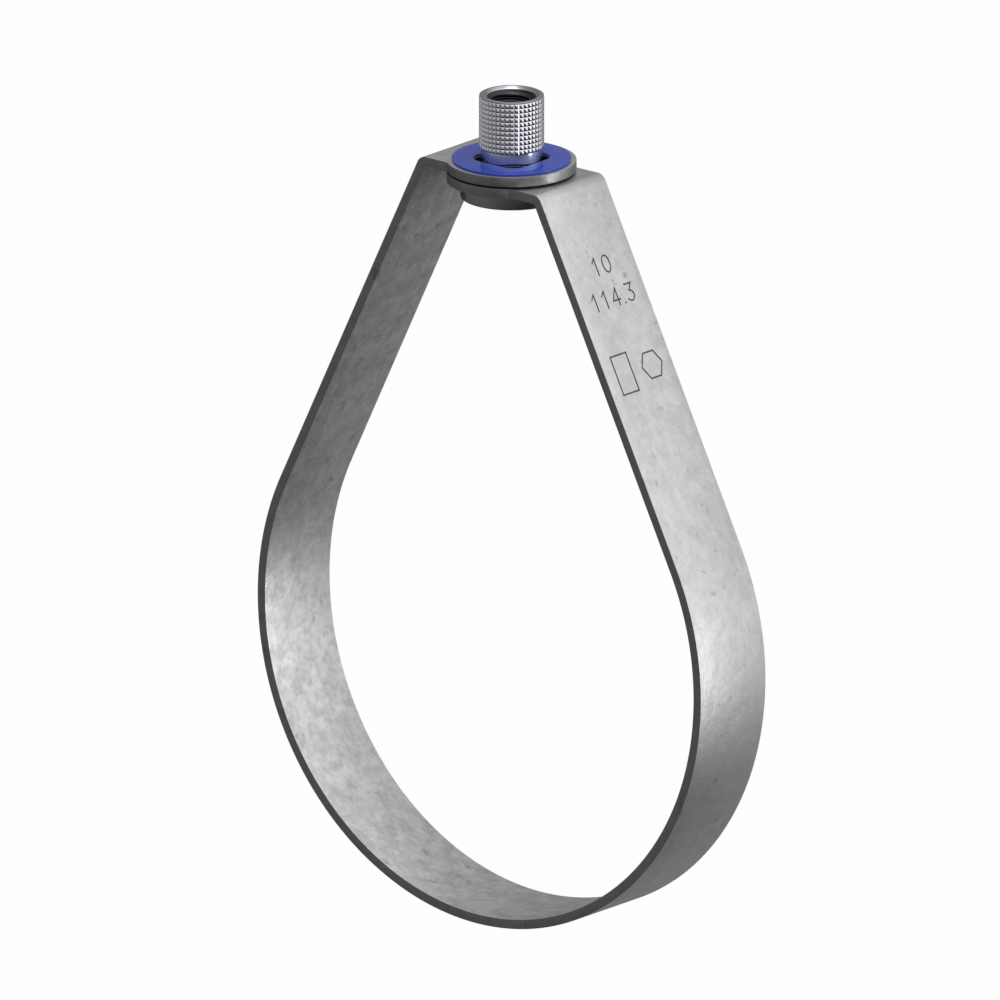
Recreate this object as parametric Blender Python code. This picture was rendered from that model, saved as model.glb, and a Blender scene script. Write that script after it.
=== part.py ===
"""Swivel ring hanger for a pipe of 114.3 mm outside diameter on an M10 rod.

One strip of galvanised sheet is bent into a teardrop ring. Its two ends are round pads that overlap
at the top. A knurled nut stands loose in the square holes of both pads, and a thin blue washer lies
on the upper one. Metres, +Z up, with the pipe along Y. The origin is on the swivel axis, where the
threaded rod enters the nut's mouth.
"""

import math

import bmesh
import bpy

# Ring and strip

PIPE_RADIUS = 0.05715
PIPE_CLEARANCE = 0.00135
SHEET = 0.0020
STRIP_WIDTH = 0.0210
EDGE_ROUND = 0.0003

# Overlapping ends, with levels above the ring's centre

LOWER_PAD_TOP = 0.10175
PAD_GAP = 0.0005
PAD_RADIUS = 0.0136
PAD_NECK_FILLET = 0.0020
SHOULDER = 0.0162
SHOULDER_BEND = 0.0024

# Rounded square hole through both pads and the washer

HOLE_HALF_SIDE = 0.0066
HOLE_CORNER = 0.0033

# Washer

WASHER_RADIUS = 0.01255
WASHER_THICKNESS = 0.00035
WASHER_GAP = 0.00010
WASHER_EDGE = 0.00008

# Nut, with levels above the ring's centre

NUT_TOP = 0.1185
KNURL_BOTTOM = 0.1071
NUT_BOTTOM = 0.0962
FLANGE_GAP = 0.00015
FLANGE_RADIUS = 0.0108
FLANGE_CHAMFER = 0.0004
NECK_RADIUS = 0.00645
BARREL_RADIUS = 0.00685
RIM_CHAMFER = 0.00035
RIM_FLAT_OUTER = 0.0064
RIM_FLAT_INNER = 0.0059
MOUTH_RADIUS = 0.0053
MOUTH_DEPTH = 0.0004
THREAD_MINOR_RADIUS = 0.00425
THREAD_LEAD_DEPTH = 0.0012
KNURL_COLUMNS = 42
KNURL_ROWS = 11
KNURL_DEPTH = 0.00030

# Fineness of the round stretches

RING_STEPS = 28
BEND_STEPS = 6
PAD_STEPS = 20
FILLET_STEPS = 3
CORNER_STEPS = 6
WASHER_SIDES = 72
SEAT_FACET = math.radians(2.0)
MERGE = 1e-7

RING_OUTER = PIPE_RADIUS + PIPE_CLEARANCE + SHEET
HALF_WIDTH = STRIP_WIDTH / 2
UPPER_PAD_TOP = LOWER_PAD_TOP + PAD_GAP + SHEET
WASHER_BOTTOM = UPPER_PAD_TOP + WASHER_GAP
FLANGE_TOP = LOWER_PAD_TOP - SHEET - FLANGE_GAP


def clear_scene():
    for obj in list(bpy.data.objects):
        bpy.data.objects.remove(obj)


def make_material(name, color, metallic, roughness):
    material = bpy.data.materials.new(name)
    material.use_nodes = True
    shader = material.node_tree.nodes["Principled BSDF"]
    shader.inputs["Base Color"].default_value = (*color, 1.0)
    shader.inputs["Metallic"].default_value = metallic
    shader.inputs["Roughness"].default_value = roughness
    return material


def add_object(name, bm, parent, level, material=None):
    """A closed mesh as an object, standing on the swivel axis at a level under its parent."""
    bmesh.ops.remove_doubles(bm, verts=bm.verts, dist=MERGE)
    bmesh.ops.recalc_face_normals(bm, faces=bm.faces)
    mesh = bpy.data.meshes.new(name)
    bm.to_mesh(mesh)
    bm.free()
    mesh.shade_smooth()
    mesh.set_sharp_from_angle(angle=math.radians(30))
    if material:
        mesh.materials.append(material)
    obj = bpy.data.objects.new(name, mesh)
    bpy.context.scene.collection.objects.link(obj)
    obj.parent = parent
    obj.location = (0.0, 0.0, level)
    return obj


def spaced(start, end, steps):
    return [start + (end - start) * i / steps for i in range(steps + 1)]


def skin(bm, first, second):
    """Quads between two rings of as many points."""
    for i in range(len(first)):
        j = (i + 1) % len(first)
        bm.faces.new((first[i], first[j], second[j], second[i]))


def add_bevel(obj, width, segments):
    bevel = obj.modifiers.new("edges", "BEVEL")
    bevel.width = width
    bevel.segments = segments
    bevel.limit_method = "ANGLE"
    bevel.angle_limit = math.radians(50)


def add_cut(obj, cutter):
    cut = obj.modifiers.new("hole", "BOOLEAN")
    cut.operation = "DIFFERENCE"
    cut.object = cutter


# Strip: each station is (x, z, normal x, normal z, half width) on the sheet's outer face


def leg_angle(pad_top):
    """How far a leg leans from upright, from the shoulder's corner to where it touches the ring."""
    reach = math.hypot(SHOULDER, pad_top)
    return math.atan2(pad_top, SHOULDER) - math.acos(RING_OUTER / reach)


def pad_outline():
    """(distance from the swivel axis, half width) from the pad's free tip to where the strip begins."""
    centre_y = HALF_WIDTH + PAD_NECK_FILLET
    centre_x = math.sqrt((PAD_RADIUS + PAD_NECK_FILLET) ** 2 - centre_y**2)
    turn = math.atan2(centre_y, -centre_x)
    outline = []
    for angle in spaced(0.0, turn, PAD_STEPS):
        outline.append((-PAD_RADIUS * math.cos(angle), PAD_RADIUS * math.sin(angle)))
    for angle in spaced(turn, math.pi / 2, FILLET_STEPS)[1:]:
        x = centre_x + PAD_NECK_FILLET * math.cos(angle)
        outline.append((x, centre_y - PAD_NECK_FILLET * math.sin(angle)))
    return outline


def end_stations(pad_top):
    """From the pad's free tip over the shoulder's bend to the leg's foot, with the leg at positive x."""
    lean = leg_angle(pad_top)
    turn = math.pi / 2 - lean
    bend_x = SHOULDER - SHOULDER_BEND * math.tan(turn / 2)
    bend_z = pad_top - SHOULDER_BEND
    stations = [(x, pad_top, 0.0, 1.0, width) for x, width in pad_outline()]
    for angle in spaced(0.0, turn, BEND_STEPS):
        nx = math.sin(angle)
        nz = math.cos(angle)
        x = bend_x + SHOULDER_BEND * nx
        z = bend_z + SHOULDER_BEND * nz
        stations.append((x, z, nx, nz, HALF_WIDTH))
    return stations


def arc_stations(start, end):
    stations = []
    for angle in spaced(start, end, RING_STEPS):
        nx = math.cos(angle)
        nz = math.sin(angle)
        stations.append((RING_OUTER * nx, RING_OUTER * nz, nx, nz, HALF_WIDTH))
    return stations


def strip_stations():
    """The whole strip, from the upper pad's tip down the left leg, round, and up to the lower pad's."""
    bottom = 1.5 * math.pi
    left_end = [(-x, z, -nx, nz, w) for x, z, nx, nz, w in end_stations(UPPER_PAD_TOP)]
    left_arc = arc_stations(math.pi - leg_angle(UPPER_PAD_TOP), bottom - SEAT_FACET)
    right_arc = arc_stations(bottom + SEAT_FACET, 2 * math.pi + leg_angle(LOWER_PAD_TOP))
    right_end = end_stations(LOWER_PAD_TOP)[::-1]
    return left_end + left_arc + right_arc + right_end


def make_band(parent, level, cutter, material):
    """The strip as a loft of oblong sections, with the hole cut through both pads."""
    bm = bmesh.new()
    sections = []
    for x, z, nx, nz, width in strip_stations():
        inner_x = x - SHEET * nx
        inner_z = z - SHEET * nz
        corners = (
            (x, -width, z),
            (x, width, z),
            (inner_x, width, inner_z),
            (inner_x, -width, inner_z),
        )
        sections.append([bm.verts.new(corner) for corner in corners])
    for first, second in zip(sections, sections[1:]):
        skin(bm, first, second)
    band = add_object("ring_band", bm, parent, level, material)
    add_cut(band, cutter)
    add_bevel(band, EDGE_ROUND, 2)
    return band


# Square hole and washer


def rounded_square(half_side, corner):
    """Points of a square with round corners, sides along X and Y."""
    points = []
    for quarter in range(4):
        middle = math.pi / 4 + quarter * math.pi / 2
        centre_x = math.copysign(half_side - corner, math.cos(middle))
        centre_y = math.copysign(half_side - corner, math.sin(middle))
        for angle in spaced(middle - math.pi / 4, middle + math.pi / 4, CORNER_STEPS):
            x = centre_x + corner * math.cos(angle)
            y = centre_y + corner * math.sin(angle)
            points.append((x, y))
    return points


def circle(radius, sides, turn=0.0):
    angles = [turn + 2 * math.pi * i / sides for i in range(sides)]
    return [(radius * math.cos(a), radius * math.sin(a)) for a in angles]


def prism(outline, bottom, top):
    bm = bmesh.new()
    low = [bm.verts.new((x, y, bottom)) for x, y in outline]
    high = [bm.verts.new((x, y, top)) for x, y in outline]
    skin(bm, low, high)
    bm.faces.new(low)
    bm.faces.new(high)
    return bm


def make_hole_cutter(parent, level):
    below = LOWER_PAD_TOP - 2 * SHEET
    above = UPPER_PAD_TOP + SHEET
    outline = rounded_square(HOLE_HALF_SIDE, HOLE_CORNER)
    cutter = add_object("square_hole_cutter", prism(outline, below, above), parent, level)
    cutter.hide_render = True
    cutter.display_type = "WIRE"
    return cutter


def make_washer(parent, level, cutter, material):
    bm = prism(circle(WASHER_RADIUS, WASHER_SIDES), 0.0, WASHER_THICKNESS)
    washer = add_object("blue_washer", bm, parent, level, material)
    add_cut(washer, cutter)
    add_bevel(washer, WASHER_EDGE, 1)
    return washer


# Nut


def ring_of_points(bm, radius, z, turn=0.0):
    return [bm.verts.new((x, y, z)) for x, y in circle(radius, KNURL_COLUMNS, turn)]


def knurl_row(bm, low, high, apex_z):
    """A row of small pyramids: each cell between two groove rings rises to a point."""
    half_column = math.pi / KNURL_COLUMNS
    tips = ring_of_points(bm, BARREL_RADIUS, apex_z, half_column)
    for i, tip in enumerate(tips):
        j = (i + 1) % KNURL_COLUMNS
        corners = (low[i], low[j], high[j], high[i])
        for side in range(4):
            bm.faces.new((corners[side], corners[(side + 1) % 4], tip))


def make_nut(parent, level, material):
    """Flange, neck and cross-knurled barrel, turned in one piece round the threaded bore."""
    bm = bmesh.new()
    knurl_top = NUT_TOP - RIM_CHAMFER
    grooves = BARREL_RADIUS - KNURL_DEPTH
    outside = (
        (MOUTH_RADIUS, NUT_BOTTOM),
        (FLANGE_RADIUS - FLANGE_CHAMFER, NUT_BOTTOM),
        (FLANGE_RADIUS, NUT_BOTTOM + FLANGE_CHAMFER),
        (FLANGE_RADIUS, FLANGE_TOP),
        (NECK_RADIUS, FLANGE_TOP),
        (NECK_RADIUS, KNURL_BOTTOM),
    )
    mouth = (
        (BARREL_RADIUS, knurl_top),
        (RIM_FLAT_OUTER, NUT_TOP),
        (RIM_FLAT_INNER, NUT_TOP),
        (MOUTH_RADIUS, NUT_TOP - MOUTH_DEPTH),
        (THREAD_MINOR_RADIUS, NUT_TOP - THREAD_LEAD_DEPTH),
        (THREAD_MINOR_RADIUS, NUT_BOTTOM + THREAD_LEAD_DEPTH),
    )
    lower = [ring_of_points(bm, radius, z) for radius, z in outside]
    levels = spaced(KNURL_BOTTOM, knurl_top, KNURL_ROWS)
    knurl = [ring_of_points(bm, grooves, z) for z in levels]
    upper = [ring_of_points(bm, radius, z) for radius, z in mouth]
    for first, second in zip(lower, lower[1:] + knurl[:1]):
        skin(bm, first, second)
    for row, (low, high) in enumerate(zip(knurl, knurl[1:])):
        knurl_row(bm, low, high, (levels[row] + levels[row + 1]) / 2)
    for first, second in zip(knurl[-1:] + upper, upper + lower[:1]):
        skin(bm, first, second)
    bmesh.ops.translate(bm, verts=bm.verts, vec=(0.0, 0.0, -NUT_TOP))
    return add_object("knurled_nut", bm, parent, level, material)


def main():
    clear_scene()
    zinc = make_material("galvanised_sheet", (0.42, 0.42, 0.43), 0.85, 0.45)
    steel = make_material("plated_steel", (0.50, 0.50, 0.52), 1.0, 0.25)
    blue = make_material("blue_plastic", (0.06, 0.09, 0.42), 0.0, 0.25)
    hanging_point = bpy.data.objects.new("hanging_point", None)
    bpy.context.scene.collection.objects.link(hanging_point)
    ring_centre = -NUT_TOP
    cutter = make_hole_cutter(hanging_point, ring_centre)
    make_nut(hanging_point, 0.0, steel)
    make_band(hanging_point, ring_centre, cutter, zinc)
    make_washer(hanging_point, WASHER_BOTTOM + ring_centre, cutter, blue)


main()
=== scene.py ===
"""Looks of the swivel ring hanger: its formed band, knurled nut and blue washer, in a white studio.

Metres, +Z up, pipe along Y. The origin is on the swivel axis at the nut's top rim.
"""

import math

import bmesh
import bpy
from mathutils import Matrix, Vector


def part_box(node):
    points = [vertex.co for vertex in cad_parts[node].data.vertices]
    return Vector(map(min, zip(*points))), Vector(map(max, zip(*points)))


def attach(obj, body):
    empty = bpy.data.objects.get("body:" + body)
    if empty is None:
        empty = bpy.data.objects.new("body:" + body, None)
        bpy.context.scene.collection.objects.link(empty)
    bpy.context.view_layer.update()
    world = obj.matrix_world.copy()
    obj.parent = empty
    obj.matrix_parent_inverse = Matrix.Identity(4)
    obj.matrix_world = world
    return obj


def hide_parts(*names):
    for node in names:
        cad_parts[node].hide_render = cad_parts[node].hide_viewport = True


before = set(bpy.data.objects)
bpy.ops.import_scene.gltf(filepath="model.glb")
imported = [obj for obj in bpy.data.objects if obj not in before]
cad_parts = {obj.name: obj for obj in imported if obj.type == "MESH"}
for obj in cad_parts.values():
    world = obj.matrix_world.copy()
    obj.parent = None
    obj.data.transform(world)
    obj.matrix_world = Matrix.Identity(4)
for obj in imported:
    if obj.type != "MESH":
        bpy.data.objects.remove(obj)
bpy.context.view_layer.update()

# Places, from the frame

BAND_LOW, BAND_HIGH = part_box("ring_band")
NUT_LOW, NUT_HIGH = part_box("knurled_nut")
WASHER_LOW, WASHER_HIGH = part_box("blue_washer")

# Ring and strip. The ring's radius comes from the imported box, so that the band stays inside it

RING_OUTER = BAND_HIGH.x
SHEET = 0.0020
HALF_WIDTH = 0.0105
EDGE_ROUND = 0.0003
RING_CENTRE = BAND_LOW.z + RING_OUTER

# Overlapping ends, with levels above the ring's centre

UPPER_PAD_TOP = BAND_HIGH.z - RING_CENTRE
PAD_GAP = 0.0005
LOWER_PAD_TOP = UPPER_PAD_TOP - SHEET - PAD_GAP
UNDER_PADS = LOWER_PAD_TOP - 1.1 * SHEET
PAD_RADIUS = BAND_HIGH.y
PAD_NECK_FILLET = 0.0020
SHOULDER = 0.0162
SHOULDER_BEND = 0.0024

# Rounded square hole through both pads and the washer

HOLE_HALF_SIDE = 0.0066
HOLE_CORNER = 0.0033
HOLE_CHAMFER = 0.00012

# Washer

WASHER_RADIUS = WASHER_HIGH.x
WASHER_EDGE = 0.0001
WASHER_REST = 0.00001

# Nut, with levels above the ring's centre

NUT_TOP = NUT_HIGH.z - RING_CENTRE
NUT_BOTTOM = NUT_LOW.z - RING_CENTRE
KNURL_BOTTOM = 0.1071
FLANGE_GAP = 0.00015
FLANGE_TOP = LOWER_PAD_TOP - SHEET - FLANGE_GAP
FLANGE_RADIUS = 0.0108
FLANGE_EDGE = 0.0004
NECK_RADIUS = 0.00645
BARREL_RADIUS = 0.00685
RIM_CHAMFER = 0.00035
RIM_FLAT_OUTER = 0.0064
RIM_FLAT_INNER = 0.0059
MOUTH_RADIUS = 0.0053
MOUTH_DEPTH = 0.0004
KNURL_COLUMNS = 42
KNURL_ROWS = 11
KNURL_DEPTH = 0.00025
KNURL_BLUNT = 0.667
KNURL_TURN = math.radians(-1.9)

# Right-hand M10 thread of coarse pitch

THREAD_PITCH = 0.0015
THREAD_MINOR_RADIUS = 0.00425
THREAD_MAJOR_RADIUS = 0.0050
THREAD_CREST = 0.25
THREAD_ROOT = 0.125
THREAD_LEAD_DEPTH = 0.0012

# Stamped marks on the right leg: the rod's and the pipe's diameter, with levels above the ring's centre

STAMP_DEPTH = 0.00016
STAMP_CLEAR = 0.00004
STAMP_HALF = 0.00018
STAMP_FOOT_HALF = 0.00008
ROD_MARK = ("10", 0.0002, 0.0841)
PIPE_MARK = ("114.3", 0.0002, 0.0777)
DIGIT_HEIGHT = 0.0037
DIGIT_WIDTH = 0.0022
DIGIT_SPACE = 0.0010
POINT_WIDTH = DIGIT_WIDTH * 0.2
SHAPES_LEVEL = 0.0652
OBLONG_PLACE = -0.0046
OBLONG_HALF = (0.0025, 0.0042)
HEXAGON_PLACE = 0.0043
HEXAGON_RADIUS = 0.0032
STAMPS_LOWEST = 0.0345
STAMPS_HIGHEST = 0.0685

# Smudges in the zinc, by (along +Y, up the leg): outside the right leg, and inside the left leg

RIGHT_SMUDGES = ((0.0060, 0.0619),)
LEFT_SMUDGES = ((0.0044, 0.0649), (-0.0020, 0.0641))
SMUDGE_CORE = 0.0003
SMUDGE_RADIUS = 0.0010

# Zinc: tones are linear reflectances, and scales are in features to the metre

NOISE_LOW = 0.3
NOISE_HIGH = 0.7
ZINC_TONE = 0.55
ZINC_SWING_OUTER = 0.15
ZINC_SWING_INNER = 0.34
ZINC_ROUGHNESS = (0.42, 0.34)
ZINC_BUMP_STRENGTH = 0.5
ZINC_BUMP_HEIGHT = 0.0001
CLOUD_SCALE = 350.0
CLOUD_SHARE = 0.4
PATCH_SCALE = 330.0
PATCH_BLUR = 0.35
PATCH_SHARE = 0.3
FLECK_SCALE = 800.0
FLECK_SHARE = 0.3
WOBBLE_SCALE = 400.0
WOBBLE_REACH = 0.0015
SPECK_SCALE = 330.0

# Where each darker mark starts and is whole: a noise's value for the specks, a level above the ring's
# centre for the painted shade under the shoulder, and how far a face's normal points along an axis for
# the painted shades on the sheared sides, the pads' rims and the knurl's flanks

SPECK_RANGE = (0.64, 0.70)
UNDER_SHOULDER_SHADE_RANGE = (0.088, 0.102)
SIDE_FACING = (0.6, 0.9)
PAD_RIM_FACING = (0.7, 0.4)
PAD_RIM_SHADE_SHARE = 0.6
FLANK_FACING = (-0.15, -0.30)

# Shades: what is left of the metal's tone in each place. The specks and smudges are marks in the metal;
# the rest are painted shade, and the sheared sides are partly bare steel as well

SPECK_SHADE = 0.75
SMUDGE_SHADE = 0.65
UNDER_SHOULDER_PAINTED_SHADE = 0.62
SHEARED_STEEL_AND_SHADE = 0.30
STAMPED_PAINTED_SHADE = 0.25
BORE_PAINTED_SHADE = 0.08
LEFT_FLANK_PAINTED_SHADE = 0.28
LOWER_FLANK_PAINTED_SHADE = 0.10
NECK_PAINTED_SHADE = 0.8
FLANGE_PAINTED_SHADE = 0.32
NUT_RIM_PAINTED_SHADE = 0.55

# Plated steel and blue plastic

PLATING_SCALE = 900.0
PLATING_TONE = (0.72, 0.77)
# The plating's slight blue tint is a painted reflection of the blue washer
PAINTED_BLUE_REFLECTION = 1.09
PLATING_ROUGHNESS = (0.23, 0.26)
NECK_ROUGHNESS_CHANGE = -0.09
BORE_ROUGHNESS_CHANGE = 0.2
MOUTH_BLEND = 0.00015
PLASTIC_SCALE = 400.0
PLASTIC_DEEP = (0.010, 0.040, 0.37, 1.0)
PLASTIC_LIGHT = (0.018, 0.056, 0.42, 1.0)
PLASTIC_ROUGHNESS = 0.16
PLASTIC_IOR = 1.5
WHITE = (1.0, 1.0, 1.0, 1.0)

# A mix node's sockets for two colors and for their mix

MIX_FIRST = 6
MIX_SECOND = 7
MIX_RESULT = 2

# Fineness: steps along curves, sides of round things, and the angles past which an edge counts as one

RING_STEPS = 90
BEND_STEPS = 16
PAD_STEPS = 60
FILLET_STEPS = 10
CORNER_STEPS = 16
EDGE_SEGMENTS = 4
WASHER_SIDES = 192
KNURL_CELL = 6
THREAD_SIDES = KNURL_COLUMNS * 2
THREAD_ROWS = 12
TURNED_EDGE_STEPS = 6
OVAL_SIDES = 24
BOWL_STEPS = 12
FLOOR_SIDES = 96
FLOOR_STEPS = 12
CARD_SEGMENTS = 48
CARD_RINGS = 32
SHARP_ANGLE = math.radians(30)
BEVEL_ANGLE = math.radians(50)
MERGE = 1e-7

# Camera, fitted to the photograph

FRAME_PIXELS = 1000
PIXELS_PER_METRE = 4784.0
RING_CENTRE_U = 511.54
RING_CENTRE_V = 636.04
AZIMUTH = math.radians(40.01)
ELEVATION = math.radians(16.98)
CAMERA_DISTANCE = 0.6

# Studio

FLOOR_LEVEL = -2.5
FLOOR_RADIUS = 8.0
FLOOR_MIDDLE = 0.2
WALL_HEIGHT = 2.6
FLOOR_GREY = 0.8
FLOOR_ROUGHNESS = 0.9
SEEN_WHITE = 0.96
CARD_RADIUS = 2.3
LAMP_DISTANCE = 2.0
DIM_LIGHT = 0.01

# Pools of light: azimuth and elevation in degrees, sharpness and strength

POOLS = (
    (-30, 60, 6.0, 1.25),
    (20, 30, 20.0, 0.45),
    (38, 25, 9.0, 0.62),
    (48, -4, 22.0, 0.62),
    (100, -35, 10.0, 0.28),
    (85, 62, 30.0, 0.4),
    (122, 36, 12.0, 0.4),
    (230, 0, 2.5, 0.4),
)

# Area lamps: azimuth and elevation in degrees, width and height in metres, and radiance

KEY_LAMP = (25, -8, 0.4, 1.0, 4.4)
OVERHEAD_LAMP = (-60, 83, 0.8, 0.8, 3.2)


def spaced(start, end, steps):
    return [start + (end - start) * i / steps for i in range(steps + 1)]


def circle(radius, sides, turn=0.0):
    angles = [turn + 2 * math.pi * i / sides for i in range(sides)]
    return [(radius * math.cos(a), radius * math.sin(a)) for a in angles]


def skin(bm, first, second):
    """Quads between two rings of as many points."""
    for i in range(len(first)):
        j = (i + 1) % len(first)
        bm.faces.new((first[i], first[j], second[j], second[i]))


def add_object(name, bm, level=0.0):
    bmesh.ops.remove_doubles(bm, verts=bm.verts, dist=MERGE)
    bmesh.ops.dissolve_degenerate(bm, edges=bm.edges, dist=MERGE)
    bmesh.ops.recalc_face_normals(bm, faces=bm.faces)
    mesh = bpy.data.meshes.new(name)
    bm.to_mesh(mesh)
    bm.free()
    mesh.shade_smooth()
    mesh.set_sharp_from_angle(angle=SHARP_ANGLE)
    obj = bpy.data.objects.new(name, mesh)
    bpy.context.scene.collection.objects.link(obj)
    obj.location = (0.0, 0.0, level)
    return obj


def add_bevel(obj, width):
    bevel = obj.modifiers.new("edges", "BEVEL")
    bevel.width = width
    bevel.segments = EDGE_SEGMENTS
    bevel.limit_method = "ANGLE"
    bevel.angle_limit = BEVEL_ANGLE


def add_cut(obj, cutter):
    cut = obj.modifiers.new("cut", "BOOLEAN")
    cut.operation = "DIFFERENCE"
    cut.object = cutter


def apply_modifiers(obj, *cutters):
    """Freezes the evaluated mesh, so that the cutters can go."""
    graph = bpy.context.evaluated_depsgraph_get()
    mesh = bpy.data.meshes.new_from_object(obj.evaluated_get(graph))
    obj.modifiers.clear()
    obj.data = mesh
    mesh.set_sharp_from_angle(angle=SHARP_ANGLE)
    for cutter in cutters:
        bpy.data.objects.remove(cutter)


# Strip: each station is (x, z, normal x, normal z, half width) on the sheet's outer face


def leg_angle(pad_top):
    """How far a leg leans from upright, from the shoulder's corner to where it touches the ring."""
    reach = math.hypot(SHOULDER, pad_top)
    return math.atan2(pad_top, SHOULDER) - math.acos(RING_OUTER / reach)


def pad_outline():
    """(distance from the swivel axis, half width) from the pad's free tip to where the strip begins."""
    centre_y = HALF_WIDTH + PAD_NECK_FILLET
    centre_x = math.sqrt((PAD_RADIUS + PAD_NECK_FILLET) ** 2 - centre_y**2)
    turn = math.atan2(centre_y, -centre_x)
    outline = []
    for angle in spaced(0.0, turn, PAD_STEPS):
        outline.append((-PAD_RADIUS * math.cos(angle), PAD_RADIUS * math.sin(angle)))
    for angle in spaced(turn, math.pi / 2, FILLET_STEPS)[1:]:
        x = centre_x + PAD_NECK_FILLET * math.cos(angle)
        outline.append((x, centre_y - PAD_NECK_FILLET * math.sin(angle)))
    return outline


def end_stations(pad_top):
    """From the pad's free tip over the shoulder's bend to the leg's foot, with the leg at positive x."""
    lean = leg_angle(pad_top)
    turn = math.pi / 2 - lean
    bend_x = SHOULDER - SHOULDER_BEND * math.tan(turn / 2)
    bend_z = pad_top - SHOULDER_BEND
    stations = [(x, pad_top, 0.0, 1.0, width) for x, width in pad_outline()]
    for angle in spaced(0.0, turn, BEND_STEPS):
        nx = math.sin(angle)
        nz = math.cos(angle)
        x = bend_x + SHOULDER_BEND * nx
        z = bend_z + SHOULDER_BEND * nz
        stations.append((x, z, nx, nz, HALF_WIDTH))
    return stations


def arc_stations(start, end):
    stations = []
    for angle in spaced(start, end, RING_STEPS):
        nx = math.cos(angle)
        nz = math.sin(angle)
        stations.append((RING_OUTER * nx, RING_OUTER * nz, nx, nz, HALF_WIDTH))
    return stations


def strip_stations():
    """The whole strip, from the upper pad's tip down the left leg, round, and up to the lower pad's."""
    bottom = 1.5 * math.pi
    left_end = [(-x, z, -nx, nz, w) for x, z, nx, nz, w in end_stations(UPPER_PAD_TOP)]
    left_arc = arc_stations(math.pi - leg_angle(UPPER_PAD_TOP), bottom)
    right_arc = arc_stations(bottom, 2 * math.pi + leg_angle(LOWER_PAD_TOP))
    right_end = end_stations(LOWER_PAD_TOP)[::-1]
    return left_end + left_arc + right_arc[1:] + right_end


def rounded_square(half_side, corner):
    """Points of a square with round corners, sides along X and Y."""
    points = []
    for quarter in range(4):
        middle = math.pi / 4 + quarter * math.pi / 2
        centre_x = math.copysign(half_side - corner, math.cos(middle))
        centre_y = math.copysign(half_side - corner, math.sin(middle))
        for angle in spaced(middle - math.pi / 4, middle + math.pi / 4, CORNER_STEPS):
            x = centre_x + corner * math.cos(angle)
            y = centre_y + corner * math.sin(angle)
            points.append((x, y))
    return points


def stack(outlines):
    """A closed solid through (outline, level) pairs from the bottom up."""
    bm = bmesh.new()
    rings = [[bm.verts.new((x, y, z)) for x, y in outline] for outline, z in outlines]
    for low, high in zip(rings, rings[1:]):
        skin(bm, low, high)
    bm.faces.new(rings[0])
    bm.faces.new(rings[-1])
    return bm


def make_hole_cutter():
    """The punched hole, a little wider at each pad's faces."""
    plain = rounded_square(HOLE_HALF_SIDE, HOLE_CORNER)
    wide = rounded_square(HOLE_HALF_SIDE + HOLE_CHAMFER, HOLE_CORNER + HOLE_CHAMFER)
    outlines = []
    for top in (LOWER_PAD_TOP, UPPER_PAD_TOP):
        bottom = top - SHEET
        outlines += [
            (wide, bottom - PAD_GAP / 4),
            (wide, bottom),
            (plain, bottom + HOLE_CHAMFER),
            (plain, top - HOLE_CHAMFER),
            (wide, top),
            (wide, top + PAD_GAP / 4),
        ]
    return add_object("hole_cutter", stack(outlines), RING_CENTRE)


# Stamped marks, drawn as strokes in the right leg's plane: (along +Y, up the leg)


def digit_strokes(digit):
    """Open strokes of a 1, 3, 4 or point, for two strikes of the stamp, so that neither crosses
    itself. They are drawn as shares of the digit's width and height.
    """
    w = DIGIT_WIDTH
    h = DIGIT_HEIGHT
    if digit == "1":
        return [[(w / 2, 0), (w / 2, h)]], [[(w / 2, h), (w * 0.1, h * 0.75)]]
    if digit == "4":
        return [[(w * 0.72, h), (0, h * 0.3), (w, h * 0.3)]], [[(w * 0.72, h), (w * 0.72, 0)]]
    if digit == ".":
        return [[(w * 0.06, 0), (w * 0.14, 0)]], []
    bowl = [(w * 0.42 + h * 0.3 * x, h * 0.3 * (1 + y)) for x, y in arc_points(90, -150, BOWL_STEPS)]
    return [bowl], [[(0, h), (w * 0.95, h), bowl[0]]]


def arc_points(start, end, steps):
    return [(math.cos(a), math.sin(a)) for a in spaced(math.radians(start), math.radians(end), steps)]


def digit_advance(digit):
    width = POINT_WIDTH if digit == "." else DIGIT_WIDTH
    return width + DIGIT_SPACE


def number_strokes(text, middle, level):
    """Open strokes, closed strokes and second strikes of a number, as (points, level) pairs."""
    left = middle - (sum(digit_advance(d) for d in text) - DIGIT_SPACE) / 2
    opened = []
    closed = []
    second = []
    for digit in text:
        if digit == "0":
            half = (DIGIT_WIDTH / 2, DIGIT_HEIGHT / 2)
            oval = [(left + half[0] * (1 + x), half[1] * (1 + y)) for x, y in circle(1.0, OVAL_SIDES)]
            closed.append((oval, level))
        else:
            first_strike, second_strike = digit_strokes(digit)
            opened += [([(left + x, y) for x, y in stroke], level) for stroke in first_strike]
            second += [([(left + x, y) for x, y in stroke], level) for stroke in second_strike]
        left += digit_advance(digit)
    return opened, closed, second


def shape_strokes():
    """A plain oblong and a plain hexagon, where the photograph's part has its listing marks."""
    half_y, half_z = OBLONG_HALF
    oblong = [(OBLONG_PLACE + y * half_y, z * half_z) for y, z in ((-1, -1), (1, -1), (1, 1), (-1, 1))]
    hexagon = [(HEXAGON_PLACE + y, z) for y, z in circle(HEXAGON_RADIUS, 6)]
    return [(oblong, SHAPES_LEVEL), (hexagon, SHAPES_LEVEL)]


def mitred(points, closed, half):
    """The two sides of a stroke of even width, mitred at its corners."""
    count = len(points)
    points = [Vector(p) for p in points]
    sides = []
    for i, point in enumerate(points):
        is_start = not closed and i == 0
        is_end = not closed and i == count - 1
        before = None if is_start else (point - points[i - 1]).normalized()
        after = None if is_end else (points[(i + 1) % count] - point).normalized()
        first = before or after
        second = after or before
        tip = first * half * (is_end - is_start)
        across = Vector((-first.y - second.y, first.x + second.x)) * half / (1 + first.dot(second))
        sides.append((point + tip - across, point + tip + across))
    return sides


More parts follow.
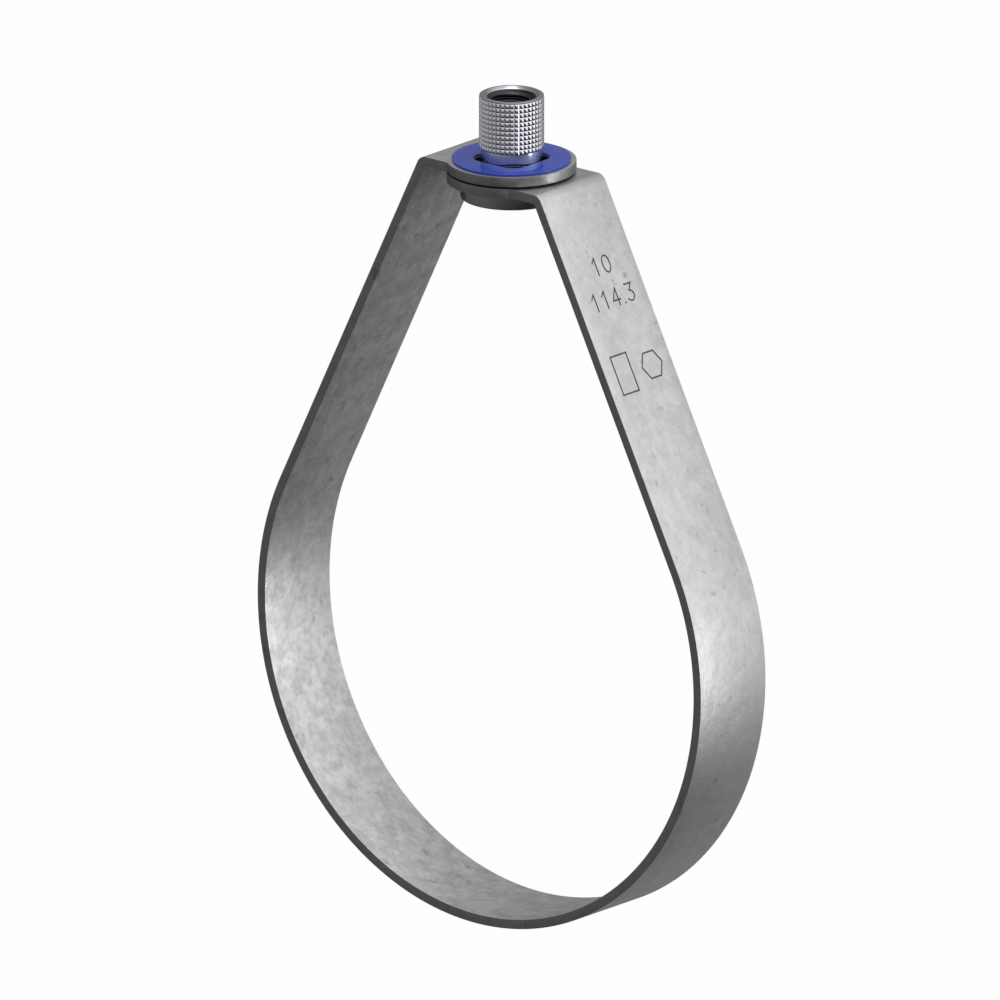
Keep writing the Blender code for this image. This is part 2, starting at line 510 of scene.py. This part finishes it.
def add_stroke(bm, points, closed, place):
    """A tapered groove along a stroke, from its foot to just clear of the sheet's face."""
    flare = (STAMP_HALF - STAMP_FOOT_HALF) * STAMP_CLEAR / STAMP_DEPTH
    rings = []
    for half, height in ((STAMP_FOOT_HALF, -STAMP_DEPTH), (STAMP_HALF + flare, STAMP_CLEAR)):
        pairs = mitred(points, closed, half)
        rings.append([[bm.verts.new(place(p, height)) for p in pair] for pair in pairs])
    low, high = rings
    sections = [(a[0], a[1], b[1], b[0]) for a, b in zip(low, high)]
    for i in range(len(sections) if closed else len(sections) - 1):
        skin(bm, sections[i], sections[(i + 1) % len(sections)])
    if not closed:
        bm.faces.new(sections[0])
        bm.faces.new(sections[-1])


def leg_directions(pad_top=LOWER_PAD_TOP, side=1):
    """Square to a leg's outer face, and up along it. Side is 1 for the right leg and -1 for the left."""
    lean = leg_angle(pad_top)
    outward = Vector((side * math.cos(lean), 0.0, math.sin(lean)))
    upward = Vector((-side * math.sin(lean), 0.0, math.cos(lean)))
    return outward, upward


def make_stamp_cutter(name, opened, closed):
    outward, upward = leg_directions()
    bm = bmesh.new()
    for strokes, is_closed in ((opened, False), (closed, True)):
        for points, level in strokes:
            climb = (level - RING_OUTER * outward.z) / upward.z

            def place(point, height, climb=climb):
                flat = outward * (RING_OUTER + height) + upward * (climb + point[1])
                return flat + Vector((0.0, point[0], 0.0))

            add_stroke(bm, points, is_closed, place)
    return add_object(name, bm, RING_CENTRE)


def make_stamp_cutters():
    rod_mark = number_strokes(*ROD_MARK)
    pipe_mark = number_strokes(*PIPE_MARK)
    opened, closed, second = (a + b for a, b in zip(rod_mark, pipe_mark))
    first_strike = make_stamp_cutter("first_strike", opened, closed + shape_strokes())
    second_strike = make_stamp_cutter("second_strike", second, [])
    return first_strike, second_strike


def make_band():
    """The strip as a loft of oblong sections with rounded edges, its punched hole and stamped marks."""
    bm = bmesh.new()
    sections = []
    for x, z, nx, nz, width in strip_stations():
        inner_x = x - SHEET * nx
        inner_z = z - SHEET * nz
        corners = (
            (x, -width, z),
            (x, width, z),
            (inner_x, width, inner_z),
            (inner_x, -width, inner_z),
        )
        sections.append([bm.verts.new(corner) for corner in corners])
    for first, second in zip(sections, sections[1:]):
        skin(bm, first, second)
    band = add_object("formed_band", bm, RING_CENTRE)
    cutters = (make_hole_cutter(), *make_stamp_cutters())
    add_bevel(band, EDGE_ROUND)
    for cutter in cutters:
        add_cut(band, cutter)
    apply_modifiers(band, *cutters)
    return band


def make_washer():
    bottom = UPPER_PAD_TOP + WASHER_REST
    top = WASHER_HIGH.z - RING_CENTRE
    rim = circle(WASHER_RADIUS, WASHER_SIDES)
    washer = add_object("thin_washer", stack([(rim, bottom), (rim, top)]), RING_CENTRE)
    hole = rounded_square(HOLE_HALF_SIDE, HOLE_CORNER)
    through = stack([(hole, bottom - SHEET), (hole, top + SHEET)])
    cutter = add_object("washer_cutter", through, RING_CENTRE)
    add_cut(washer, cutter)
    add_bevel(washer, WASHER_EDGE)
    apply_modifiers(washer, cutter)
    return washer


# Nut


def turned_ring(bm, radius, z, sides, turn=0.0):
    return [bm.verts.new((x, y, z)) for x, y in circle(radius, sides, turn)]


def rounded_corner(radius, z, size, start):
    """(radius, z) pairs along a quarter circle about a point, from start degrees up."""
    pairs = []
    for angle in spaced(math.radians(start), math.radians(start + 90), TURNED_EDGE_STEPS):
        pairs.append((radius + size * math.cos(angle), z + size * math.sin(angle)))
    return pairs


def knurl_height(u, v):
    """Height over the grooves within a cell, with u and v from 0 to 1 across it: a blunt pyramid."""
    rise = min(1 - abs(2 * u - 1), 1 - abs(2 * v - 1))
    return KNURL_DEPTH * min(rise, KNURL_BLUNT)


def knurl_rings(bm):
    """Rings of points over the cross-knurled stretch, from the bottom up."""
    sides = KNURL_COLUMNS * KNURL_CELL
    levels = spaced(KNURL_BOTTOM, NUT_TOP - RIM_CHAMFER, KNURL_ROWS * KNURL_CELL)
    rings = []
    for row, z in enumerate(levels):
        v = row % KNURL_CELL / KNURL_CELL
        ring = []
        for column in range(sides):
            u = column % KNURL_CELL / KNURL_CELL
            radius = BARREL_RADIUS + knurl_height(u, v) - KNURL_DEPTH * KNURL_BLUNT
            angle = KNURL_TURN + 2 * math.pi * column / sides
            ring.append(bm.verts.new((radius * math.cos(angle), radius * math.sin(angle), z)))
        rings.append(ring)
    return rings


def skin_knurl(bm, rings):
    """Triangles between the knurl's rings, split so that each pyramid keeps its straight ridges."""
    for row, (low, high) in enumerate(zip(rings, rings[1:])):
        upper_half = row % KNURL_CELL >= KNURL_CELL // 2
        for i in range(len(low)):
            j = (i + 1) % len(low)
            right_half = i % KNURL_CELL >= KNURL_CELL // 2
            if upper_half == right_half:
                bm.faces.new((low[i], low[j], high[j]))
                bm.faces.new((low[i], high[j], high[i]))
            else:
                bm.faces.new((low[i], low[j], high[i]))
                bm.faces.new((low[j], high[j], high[i]))


def skin_fewer(bm, many, few):
    """A flat ring of faces from a ring of many points to one of fewer."""
    share = len(many) // len(few)
    for i in range(len(few)):
        j = (i + 1) % len(few)
        outer = [many[(i * share + k) % len(many)] for k in range(share + 1)]
        bm.faces.new(outer + [few[j], few[i]])


def thread_radius(phase):
    """Radius of the internal thread at a share of its pitch: flat crest, flank, flat root, flank."""
    across = abs(2 * (phase % 1.0) - 1)
    flank = (across - THREAD_CREST) / (1 - THREAD_CREST - THREAD_ROOT)
    return THREAD_MINOR_RADIUS + (THREAD_MAJOR_RADIUS - THREAD_MINOR_RADIUS) * min(1.0, max(0.0, flank))


def lead_radius(depth):
    """Radius of the lead-in cone at a depth below the mouth's chamfer."""
    share = depth / (THREAD_LEAD_DEPTH - MOUTH_DEPTH)
    return MOUTH_RADIUS + (THREAD_MINOR_RADIUS - MOUTH_RADIUS) * share


def threaded_bore(bm, bottom, top):
    """Columns of points up the bore. Each column starts a little higher than the last, by a pitch
    in a whole turn, so that the rows follow the helix.
    """
    turns = math.ceil((top - bottom) / THREAD_PITCH) + 1
    columns = []
    for side in range(THREAD_SIDES):
        share = side / THREAD_SIDES
        angle = 2 * math.pi * share
        column = []
        for row in range(turns * THREAD_ROWS + 1):
            z = bottom + THREAD_PITCH * (row / THREAD_ROWS + share - 1)
            z = min(top, max(bottom, z))
            phase = (z - bottom) / THREAD_PITCH - share
            lead = max(lead_radius(z - bottom), lead_radius(top - z))
            radius = max(thread_radius(phase), lead)
            column.append(bm.verts.new((radius * math.cos(angle), radius * math.sin(angle), z)))
        columns.append(column)
    return columns


def skin_bore(bm, columns):
    for side, column in enumerate(columns):
        last = side == len(columns) - 1
        other = columns[0][THREAD_ROWS:] if last else columns[side + 1]
        for row in range(len(other) - 1):
            bm.faces.new((column[row], column[row + 1], other[row + 1], other[row]))


def make_nut():
    """Flange, neck, cross-knurled barrel and threaded bore."""
    bm = bmesh.new()
    sides = KNURL_COLUMNS * KNURL_CELL
    edge = FLANGE_EDGE
    foot = rounded_corner(FLANGE_RADIUS - edge, NUT_BOTTOM + edge, edge, -90)
    shoulder = rounded_corner(FLANGE_RADIUS - edge / 2, FLANGE_TOP - edge / 2, edge / 2, 0)
    neck = [(NECK_RADIUS, FLANGE_TOP), (NECK_RADIUS, KNURL_BOTTOM)]
    outside = [turned_ring(bm, r, z, sides, KNURL_TURN) for r, z in foot + shoulder + neck]
    knurl = knurl_rings(bm)
    rim = [turned_ring(bm, RIM_FLAT_OUTER, NUT_TOP, sides, KNURL_TURN)]
    crown_radius = BARREL_RADIUS - KNURL_DEPTH / 3
    crown_level = NUT_TOP - RIM_CHAMFER / 2
    knurl_crown = turned_ring(bm, crown_radius, crown_level, sides, KNURL_TURN)
    for first, second in zip(outside, outside[1:] + knurl[:1]):
        skin(bm, first, second)
    skin_knurl(bm, knurl)
    skin(bm, knurl[-1], knurl_crown)
    skin(bm, knurl_crown, rim[0])
    mouth_level = NUT_TOP - MOUTH_DEPTH
    flat_inner = turned_ring(bm, RIM_FLAT_INNER, NUT_TOP, THREAD_SIDES)
    mouth = turned_ring(bm, MOUTH_RADIUS, mouth_level, THREAD_SIDES)
    underside = turned_ring(bm, MOUTH_RADIUS, NUT_BOTTOM, THREAD_SIDES)
    skin_fewer(bm, rim[0], flat_inner)
    skin(bm, flat_inner, mouth)
    skin_fewer(bm, outside[0], underside)
    skin_bore(bm, threaded_bore(bm, NUT_BOTTOM, mouth_level))
    return add_object("swivel_nut", bm, RING_CENTRE)


# Materials


class Nodes:
    """A material's or world's node tree, with short calls for the nodes used here."""

    def __init__(self, tree):
        self.tree = tree

    def add(self, kind, inputs=None, **settings):
        node = self.tree.nodes.new(kind)
        for name, value in settings.items():
            setattr(node, name, value)
        for name, value in (inputs or {}).items():
            self.put(node.inputs[name], value)
        return node

    def put(self, socket, value):
        if isinstance(value, bpy.types.NodeSocket):
            self.tree.links.new(value, socket)
        else:
            socket.default_value = value

    def math(self, operation, first, second=0.0):
        node = self.add("ShaderNodeMath", {0: first, 1: second}, operation=operation)
        return node.outputs[0]

    def vector(self, operation, first, second=(0.0, 0.0, 0.0)):
        node = self.add("ShaderNodeVectorMath", {0: first, 1: second}, operation=operation)
        return node.outputs["Vector"]

    def measure(self, operation, first, second=(0.0, 0.0, 0.0)):
        """A vector operation whose result is a number."""
        node = self.add("ShaderNodeVectorMath", {0: first, 1: second}, operation=operation)
        return node.outputs["Value"]

    def axis(self, vector, name):
        return self.add("ShaderNodeSeparateXYZ", {0: vector}).outputs[name]

    def noise(self, place, scale, detail=2.0, roughness=0.5):
        inputs = {"Vector": place, "Scale": scale, "Detail": detail, "Roughness": roughness}
        return self.add("ShaderNodeTexNoise", inputs).outputs["Fac"]

    def span(self, value, low, high, to_low=0.0, to_high=1.0):
        inputs = {"Value": value, "From Min": low, "From Max": high, "To Min": to_low, "To Max": to_high}
        return self.add("ShaderNodeMapRange", inputs).outputs["Result"]

    def spread(self, noise, to_low=0.0, to_high=1.0):
        """A noise's middle values, spread from one end to the other."""
        return self.span(noise, NOISE_LOW, NOISE_HIGH, to_low, to_high)

    def shaded(self, tone, shades):
        """A tone darkened by (share, shade) pairs: times the shade where the share is 1."""
        for share, shade in shades:
            tone = self.math("MULTIPLY", tone, self.span(share, 0.0, 1.0, 1.0, shade))
        return tone


def new_material(name, obj):
    material = bpy.data.materials.new(name)
    material.use_nodes = True
    obj.data.materials.clear()
    obj.data.materials.append(material)
    tree = material.node_tree
    return Nodes(tree), tree.nodes["Principled BSDF"]


def color(nodes, tone, blue):
    """A color with the same tone in red and green, and its own blue."""
    return nodes.add("ShaderNodeCombineColor", {0: tone, 1: tone, 2: blue}).outputs[0]


def stamp_shade_share(nodes, place):
    """1 in the stamped marks, which are a little below the right leg's outer face, and 0 elsewhere:
    painted shade in the grooves.
    """
    outward, upward = leg_directions()
    height = nodes.measure("DOT_PRODUCT", place, outward)
    climb = nodes.measure("DOT_PRODUCT", place, upward)
    side = nodes.math("ABSOLUTE", nodes.axis(place, "Y"))
    share = nodes.span(height, RING_OUTER - STAMP_DEPTH / 3, RING_OUTER - STAMP_DEPTH / 12, 1.0, 0.0)
    for inside in (
        nodes.math("GREATER_THAN", height, RING_OUTER - SHEET / 2),
        nodes.math("GREATER_THAN", climb, STAMPS_LOWEST),
        nodes.math("LESS_THAN", climb, STAMPS_HIGHEST),
        nodes.math("LESS_THAN", side, HALF_WIDTH - 2 * EDGE_ROUND),
    ):
        share = nodes.math("MULTIPLY", share, inside)
    return share


def sheared_steel_and_shade_share(nodes, place, normal):
    """1 on the strip's sheared sides, less on the pads' rims, and 0 on the rolled faces: partly bare
    steel, partly painted shade.
    """
    side = nodes.span(nodes.math("ABSOLUTE", nodes.axis(normal, "Y")), *SIDE_FACING)
    upright = nodes.math("ABSOLUTE", nodes.axis(normal, "Z"))
    rim = nodes.span(upright, *PAD_RIM_FACING, 0.0, PAD_RIM_SHADE_SHARE)
    is_pad = nodes.math("LESS_THAN", nodes.math("ABSOLUTE", nodes.axis(place, "X")), PAD_RADIUS)
    is_high = nodes.math("GREATER_THAN", nodes.axis(place, "Z"), UNDER_PADS)
    rim = nodes.math("MULTIPLY", rim, nodes.math("MULTIPLY", is_pad, is_high))
    return nodes.math("MAXIMUM", side, rim)


def smudge_share(nodes, place):
    """1 at the middle of each smudge, and 0 away from them."""
    points = []
    for pad_top, side, depth, smudges in (
        (LOWER_PAD_TOP, 1, 0.0, RIGHT_SMUDGES),
        (UPPER_PAD_TOP, -1, SHEET, LEFT_SMUDGES),
    ):
        outward, upward = leg_directions(pad_top, side)
        for along, climb in smudges:
            points.append(outward * (RING_OUTER - depth) + upward * climb + Vector((0.0, along, 0.0)))
    total = 0.0
    for point in points:
        apart = nodes.measure("DISTANCE", place, point)
        total = nodes.math("MAXIMUM", nodes.span(apart, SMUDGE_CORE, SMUDGE_RADIUS, 1.0, 0.0), total)
    return total


def zinc_tone(nodes, place):
    """From 0 to 1: soft clouds, blurred patches about 3 mm wide, and fine flecks."""
    wobble = nodes.add("ShaderNodeTexNoise", {"Vector": place, "Scale": WOBBLE_SCALE}).outputs["Color"]
    reach = {0: wobble, "Scale": WOBBLE_REACH}
    shift = nodes.add("ShaderNodeVectorMath", reach, operation="SCALE").outputs["Vector"]
    cells = {"Vector": nodes.vector("ADD", place, shift), "Scale": PATCH_SCALE, "Smoothness": PATCH_BLUR}
    patches = nodes.add("ShaderNodeTexVoronoi", cells, feature="SMOOTH_F1").outputs["Color"]
    patch = nodes.add("ShaderNodeSeparateColor", {0: patches}).outputs[0]
    clouds = nodes.spread(nodes.noise(place, CLOUD_SCALE, detail=3.0, roughness=0.55))
    flecks = nodes.spread(nodes.noise(place, FLECK_SCALE))
    tone = nodes.math("MULTIPLY", clouds, CLOUD_SHARE)
    tone = nodes.math("ADD", tone, nodes.math("MULTIPLY", patch, PATCH_SHARE))
    return nodes.math("ADD", tone, nodes.math("MULTIPLY", flecks, FLECK_SHARE))


def finish_band(band):
    """Galvanised sheet with cloudy zinc, more so inside. The specks and the smudges are darker. Painted
    shade darkens the inner face under the shoulder, the stamped marks and the sheared sides, which are
    partly bare steel too.
    """
    nodes, shader = new_material("galvanised_sheet", band)
    where = nodes.add("ShaderNodeTexCoord").outputs
    place = where["Object"]
    inner = nodes.math("LESS_THAN", nodes.measure("DOT_PRODUCT", where["Normal"], place), 0.0)
    # Painted shade on the inner face, growing up towards the shoulder
    high = nodes.span(nodes.axis(place, "Z"), *UNDER_SHOULDER_SHADE_RANGE)
    specks = nodes.noise(place, SPECK_SCALE, detail=3.0, roughness=0.6)
    zinc = zinc_tone(nodes, place)
    reach = nodes.span(inner, 0.0, 1.0, ZINC_SWING_OUTER, ZINC_SWING_INNER)
    swing = nodes.math("MULTIPLY", nodes.math("SUBTRACT", zinc, 0.5), reach)
    shades = (
        (nodes.span(specks, *SPECK_RANGE), SPECK_SHADE),
        (smudge_share(nodes, place), SMUDGE_SHADE),
        # Painted shade on the inner face under the shoulder
        (nodes.math("MULTIPLY", high, inner), UNDER_SHOULDER_PAINTED_SHADE),
        # Sheared sides and pads' rims, darker partly as bare steel and partly as painted shade
        (sheared_steel_and_shade_share(nodes, place, where["Normal"]), SHEARED_STEEL_AND_SHADE),
        # Painted shade in the stamped grooves
        (stamp_shade_share(nodes, place), STAMPED_PAINTED_SHADE),
    )
    tone = nodes.shaded(nodes.math("ADD", swing, ZINC_TONE), shades)
    nodes.put(shader.inputs["Base Color"], color(nodes, tone, tone))
    shader.inputs["Metallic"].default_value = 1.0
    nodes.put(shader.inputs["Roughness"], nodes.span(zinc, 0.0, 1.0, *ZINC_ROUGHNESS))
    relief = {"Strength": ZINC_BUMP_STRENGTH, "Distance": ZINC_BUMP_HEIGHT, "Height": zinc}
    nodes.put(shader.inputs["Normal"], nodes.add("ShaderNodeBump", relief).outputs["Normal"])


def flank_shade_shares(nodes, level, flat, radius):
    """1 on the left flank of each knurl pyramid, and 1 on its lower flank, which both take painted
    shade.
    """
    normal = nodes.add("ShaderNodeTexCoord").outputs["Normal"]
    across = nodes.vector("CROSS_PRODUCT", (0.0, 0.0, 1.0), flat)
    sideways = nodes.math("DIVIDE", nodes.measure("DOT_PRODUCT", normal, across), radius)
    outside = nodes.math("GREATER_THAN", radius, NECK_RADIUS)
    knurled = nodes.math("MULTIPLY", nodes.math("GREATER_THAN", level, KNURL_BOTTOM), outside)
    left = nodes.span(sideways, *FLANK_FACING)
    lower = nodes.span(nodes.axis(normal, "Z"), *FLANK_FACING)
    return nodes.math("MULTIPLY", left, knurled), nodes.math("MULTIPLY", lower, knurled)


def finish_nut(nut):
    """Bright plated steel with a slight blue tint, which is a painted reflection of the blue washer.
    Painted shade darkens the knurl's left and lower flanks, the neck, the flange, the rim and the bore.
    """
    nodes, shader = new_material("plated_steel", nut)
    place = nodes.add("ShaderNodeTexCoord").outputs["Object"]
    patches = nodes.noise(place, PLATING_SCALE, detail=3.0)
    flat = nodes.vector("MULTIPLY", place, (1.0, 1.0, 0.0))
    radius = nodes.measure("LENGTH", flat)
    level = nodes.axis(place, "Z")
    inside = nodes.span(radius, MOUTH_RADIUS - MOUTH_BLEND, MOUTH_RADIUS, 1.0, 0.0)
    below_knurl = nodes.math("LESS_THAN", level, KNURL_BOTTOM)
    left_flank_shade_share, lower_flank_shade_share = flank_shade_shares(nodes, level, flat, radius)
    shades = (
        # Painted shade inside the bore
        (inside, BORE_PAINTED_SHADE),
        # Painted shade on the knurl's left and lower flanks
        (left_flank_shade_share, LEFT_FLANK_PAINTED_SHADE),
        (lower_flank_shade_share, LOWER_FLANK_PAINTED_SHADE),
        # Painted shade on the neck and the flange, below the knurl
        (below_knurl, NECK_PAINTED_SHADE),
        # More painted shade on the flange, under the pads
        (nodes.math("LESS_THAN", level, FLANGE_TOP), FLANGE_PAINTED_SHADE),
        # Painted shade on the nut's rim
        (nodes.math("GREATER_THAN", level, NUT_TOP - RIM_CHAMFER), NUT_RIM_PAINTED_SHADE),
    )
    tone = nodes.shaded(nodes.spread(patches, *PLATING_TONE), shades)
    # Painted reflection: a slight blue tint, for the blue washer
    blue = nodes.math("MULTIPLY", tone, PAINTED_BLUE_REFLECTION)
    nodes.put(shader.inputs["Base Color"], color(nodes, tone, blue))
    shader.inputs["Metallic"].default_value = 1.0
    gloss = nodes.spread(patches, *PLATING_ROUGHNESS)
    gloss = nodes.math("ADD", gloss, nodes.math("MULTIPLY", below_knurl, NECK_ROUGHNESS_CHANGE))
    gloss = nodes.math("ADD", gloss, nodes.math("MULTIPLY", inside, BORE_ROUGHNESS_CHANGE))
    nodes.put(shader.inputs["Roughness"], gloss)


def finish_washer(washer):
    """Glossy blue plastic, a little uneven."""
    nodes, shader = new_material("blue_plastic", washer)
    place = nodes.add("ShaderNodeTexCoord").outputs["Object"]
    hue = nodes.add("ShaderNodeMix", data_type="RGBA")
    nodes.put(hue.inputs["Factor"], nodes.noise(place, PLASTIC_SCALE))
    hue.inputs[MIX_FIRST].default_value = PLASTIC_DEEP
    hue.inputs[MIX_SECOND].default_value = PLASTIC_LIGHT
    nodes.put(shader.inputs["Base Color"], hue.outputs[MIX_RESULT])
    shader.inputs["Roughness"].default_value = PLASTIC_ROUGHNESS
    shader.inputs["IOR"].default_value = PLASTIC_IOR


# Camera and studio


def look_back(azimuth, elevation):
    """Unit vector towards a viewer at an azimuth, with 0 in front of the object along -Y."""
    flat = math.cos(elevation)
    return Vector((math.sin(azimuth) * flat, -math.cos(azimuth) * flat, math.sin(elevation)))


def make_camera():
    """Parallel projection at the photograph's angle, with the ring's centre on its own pixel."""
    data = bpy.data.cameras.new("camera")
    data.type = "ORTHO"
    data.ortho_scale = FRAME_PIXELS / PIXELS_PER_METRE
    camera = bpy.data.objects.new("camera", data)
    bpy.context.scene.collection.objects.link(camera)
    back = look_back(AZIMUTH, ELEVATION)
    right = Vector((math.cos(AZIMUTH), math.sin(AZIMUTH), 0.0))
    up = back.cross(right)
    shift_right = (FRAME_PIXELS / 2 - RING_CENTRE_U) / PIXELS_PER_METRE
    shift_up = (RING_CENTRE_V - FRAME_PIXELS / 2) / PIXELS_PER_METRE
    target = Vector((0.0, 0.0, RING_CENTRE)) + right * shift_right + up * shift_up
    camera.location = target + back * CAMERA_DISTANCE
    camera.rotation_mode = "QUATERNION"
    camera.rotation_quaternion = (-back).to_track_quat("-Z", "Y")
    bpy.context.scene.camera = camera


def towards(azimuth, elevation):
    """Unit vector at degrees round from +X towards +Y, and up."""
    a = math.radians(azimuth)
    e = math.radians(elevation)
    return Vector((math.cos(a) * math.cos(e), math.sin(a) * math.cos(e), math.sin(e)))


def any_ray(nodes, *kinds):
    """1 for a ray of any of these kinds, and 0 for the rest."""
    path = nodes.add("ShaderNodeLightPath").outputs
    found = 0.0
    for kind in kinds:
        found = nodes.math("MAXIMUM", path[kind], found)
    return found


def make_floor():
    """A wide pale floor that curves up all round, to just above the object's level."""
    bm = bmesh.new()
    wall_foot = FLOOR_RADIUS - WALL_HEIGHT
    profile = [(FLOOR_MIDDLE, 0.0), (wall_foot, 0.0)]
    for angle in spaced(-math.pi / 2, 0.0, FLOOR_STEPS)[1:]:
        flat = wall_foot + WALL_HEIGHT * math.cos(angle)
        profile.append((flat, WALL_HEIGHT * (1 + math.sin(angle))))
    rings = [turned_ring(bm, r, z, FLOOR_SIDES) for r, z in profile]
    bm.faces.new(rings[0])
    for first, second in zip(rings, rings[1:]):
        skin(bm, first, second)
    floor = add_object("floor", bm, FLOOR_LEVEL)
    nodes, shader = new_material("floor", floor)
    shader.inputs["Base Color"].default_value = (FLOOR_GREY, FLOOR_GREY, FLOOR_GREY, 1.0)
    shader.inputs["Roughness"].default_value = FLOOR_ROUGHNESS
    glow = nodes.add("ShaderNodeEmission", {"Color": WHITE, "Strength": 1.0})
    seen = any_ray(nodes, "Is Camera Ray", "Is Glossy Ray", "Is Transmission Ray")
    seen = nodes.math("MULTIPLY", seen, SEEN_WHITE)
    mixed = nodes.add("ShaderNodeMixShader", {0: seen, 1: shader.outputs[0], 2: glow.outputs[0]})
    output = nodes.tree.nodes["Material Output"]
    nodes.put(output.inputs["Surface"], mixed.outputs[0])


def lobe(nodes, direction, axis, sharpness, strength):
    """A soft pool of light round an axis: 1 times its strength there, and 0 on the far side."""
    near = nodes.span(nodes.measure("DOT_PRODUCT", direction, axis), -1.0, 1.0)
    return nodes.math("MULTIPLY", nodes.math("POWER", near, sharpness), strength)


def studio_light(nodes, direction):
    """How bright the studio is in a direction."""
    total = DIM_LIGHT
    for azimuth, elevation, sharpness, strength in POOLS:
        pool = lobe(nodes, direction, towards(azimuth, elevation), sharpness, strength)
        total = nodes.math("ADD", pool, total)
    return total


def make_world():
    """The pools of light, which metal reflects. The camera sees white above the wall instead."""
    world = bpy.data.worlds.new("studio")
    bpy.context.scene.world = world
    world.use_nodes = True
    nodes = Nodes(world.node_tree)
    direction = nodes.add("ShaderNodeTexCoord").outputs["Generated"]
    background = world.node_tree.nodes["Background"]
    background.inputs["Color"].default_value = WHITE
    seen = any_ray(nodes, "Is Camera Ray", "Is Transmission Ray")
    strength = nodes.span(seen, 0.0, 1.0, studio_light(nodes, direction), SEEN_WHITE)
    nodes.put(background.inputs["Strength"], strength)


def make_cards():
    """A lower half sphere, mostly dim, that stands between the object and the white floor. It carries
    the pools of light on below the horizon, and only reflections show it.
    """
    bm = bmesh.new()
    bmesh.ops.create_uvsphere(bm, u_segments=CARD_SEGMENTS, v_segments=CARD_RINGS, radius=CARD_RADIUS)
    above = [v for v in bm.verts if v.co.z > MERGE]
    bmesh.ops.delete(bm, geom=above, context="VERTS")
    cards = add_object("cards", bm, RING_CENTRE)
    nodes, shader = new_material("cards", cards)
    nodes.tree.nodes.remove(shader)
    place = nodes.add("ShaderNodeTexCoord").outputs["Object"]
    light = studio_light(nodes, nodes.vector("NORMALIZE", place))
    glow = nodes.add("ShaderNodeEmission", {"Color": WHITE, "Strength": light})
    nodes.put(nodes.tree.nodes["Material Output"].inputs["Surface"], glow.outputs[0])
    cards.visible_camera = False
    cards.visible_diffuse = False
    cards.visible_transmission = False
    cards.visible_shadow = False


def make_softbox(name, azimuth, elevation, width, height, radiance):
    direction = towards(azimuth, elevation)
    data = bpy.data.lights.new(name, "AREA")
    data.shape = "RECTANGLE"
    data.size = width
    data.size_y = height
    data.energy = radiance * math.pi * width * height
    light = bpy.data.objects.new(name, data)
    bpy.context.scene.collection.objects.link(light)
    light.location = Vector((0.0, 0.0, RING_CENTRE)) + direction * LAMP_DISTANCE
    light.rotation_mode = "QUATERNION"
    light.rotation_quaternion = direction.to_track_quat("Z", "Y")
    light.visible_camera = False


def main():
    pieces = (
        (make_band(), finish_band, "ring", "ring_band", "galvanised_sheet"),
        (make_nut(), finish_nut, "nut", "knurled_nut", "plated_steel"),
        (make_washer(), finish_washer, "washer", "blue_washer", "blue_plastic"),
    )
    for piece, finish, body, node, slot in pieces:
        finish(piece)
        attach(piece, body)
        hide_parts(node)
    bpy.context.scene.view_settings.view_transform = "Standard"
    make_camera()
    make_world()
    make_floor()
    make_cards()
    make_softbox("key", *KEY_LAMP)
    make_softbox("overhead", *OVERHEAD_LAMP)


main()
